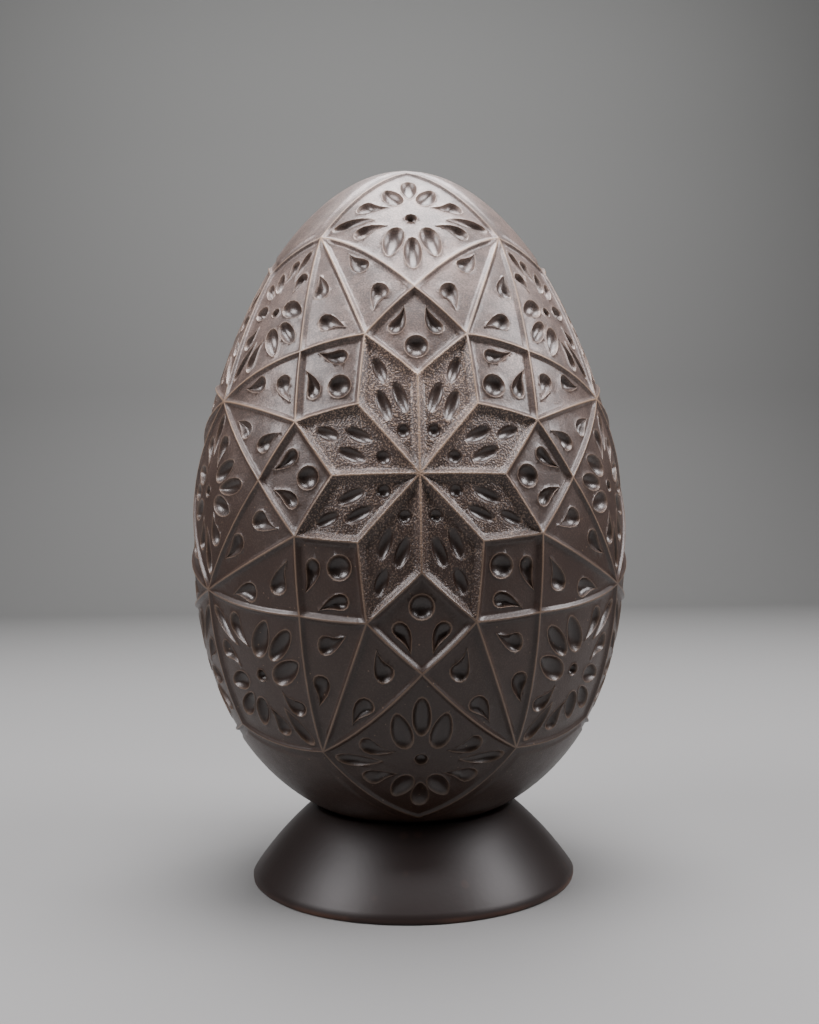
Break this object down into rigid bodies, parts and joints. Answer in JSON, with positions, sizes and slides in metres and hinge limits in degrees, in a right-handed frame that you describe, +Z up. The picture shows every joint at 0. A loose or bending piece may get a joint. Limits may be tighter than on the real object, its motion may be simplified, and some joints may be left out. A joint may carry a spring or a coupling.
{
  "type": "chocolate egg",
  "caption": "Upright moulded chocolate egg with a raised star and flower relief, fixed to a low flared round chocolate foot.",
  "frame": {"origin": "on the ground under the middle of the foot", "axes": "+Z up along the egg's axis, the middle of one star faces -Y, +X to the right of someone facing that star"},
  "size_m": [0.0992, 0.099, 0.1605],
  "materials": {
    "egg chocolate": "satin dark chocolate dusted with a thin bronze lustre",
    "foot chocolate": "smooth satin dark chocolate"
  },
  "bodies": {
    "root": {"egg": "egg chocolate", "foot": "foot chocolate"}
  },
  "joints": []
}
